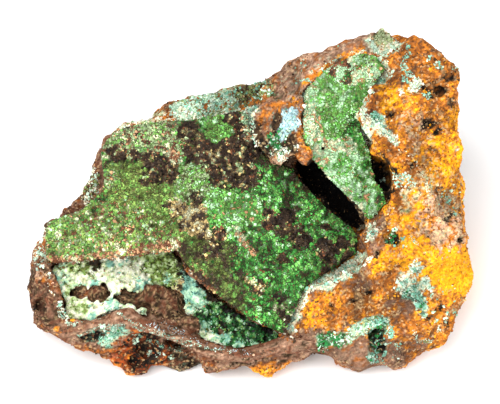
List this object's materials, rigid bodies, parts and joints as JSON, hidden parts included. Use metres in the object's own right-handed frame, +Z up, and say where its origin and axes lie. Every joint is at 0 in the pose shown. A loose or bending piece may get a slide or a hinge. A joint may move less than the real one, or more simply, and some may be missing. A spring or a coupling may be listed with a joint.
{
  "type": "conichalcite specimen",
  "caption": "Palm-sized mineral specimen: a rough chunk of limonite and goethite with green conichalcite crystal crusts in its cavities, resting on a flat base.",
  "frame": {"origin": "under the middle of the specimen's bounding box, on the flat of its base", "axes": "+Z up, +X along the specimen's length, from the druse's low end towards the ochre shoulder; the display face leans back and faces -Y and +Z"},
  "size_m": [0.0632, 0.0458, 0.0308],
  "materials": {
    "limonite": "rough, earthy, rust brown to golden ochre",
    "green_druse": "fine crystal crust, grassy to emerald green, small bright glints",
    "pale_druse": "fine crystal crust, pale green with mint white edges",
    "mint_lining": "botryoidal lining, cream and mint, slightly waxy"
  },
  "bodies": {
    "root": {"limonite_rock": "limonite", "main_crust": "green_druse", "pocket_crust": "pale_druse", "hollow_crust": "mint_lining"}
  },
  "joints": []
}
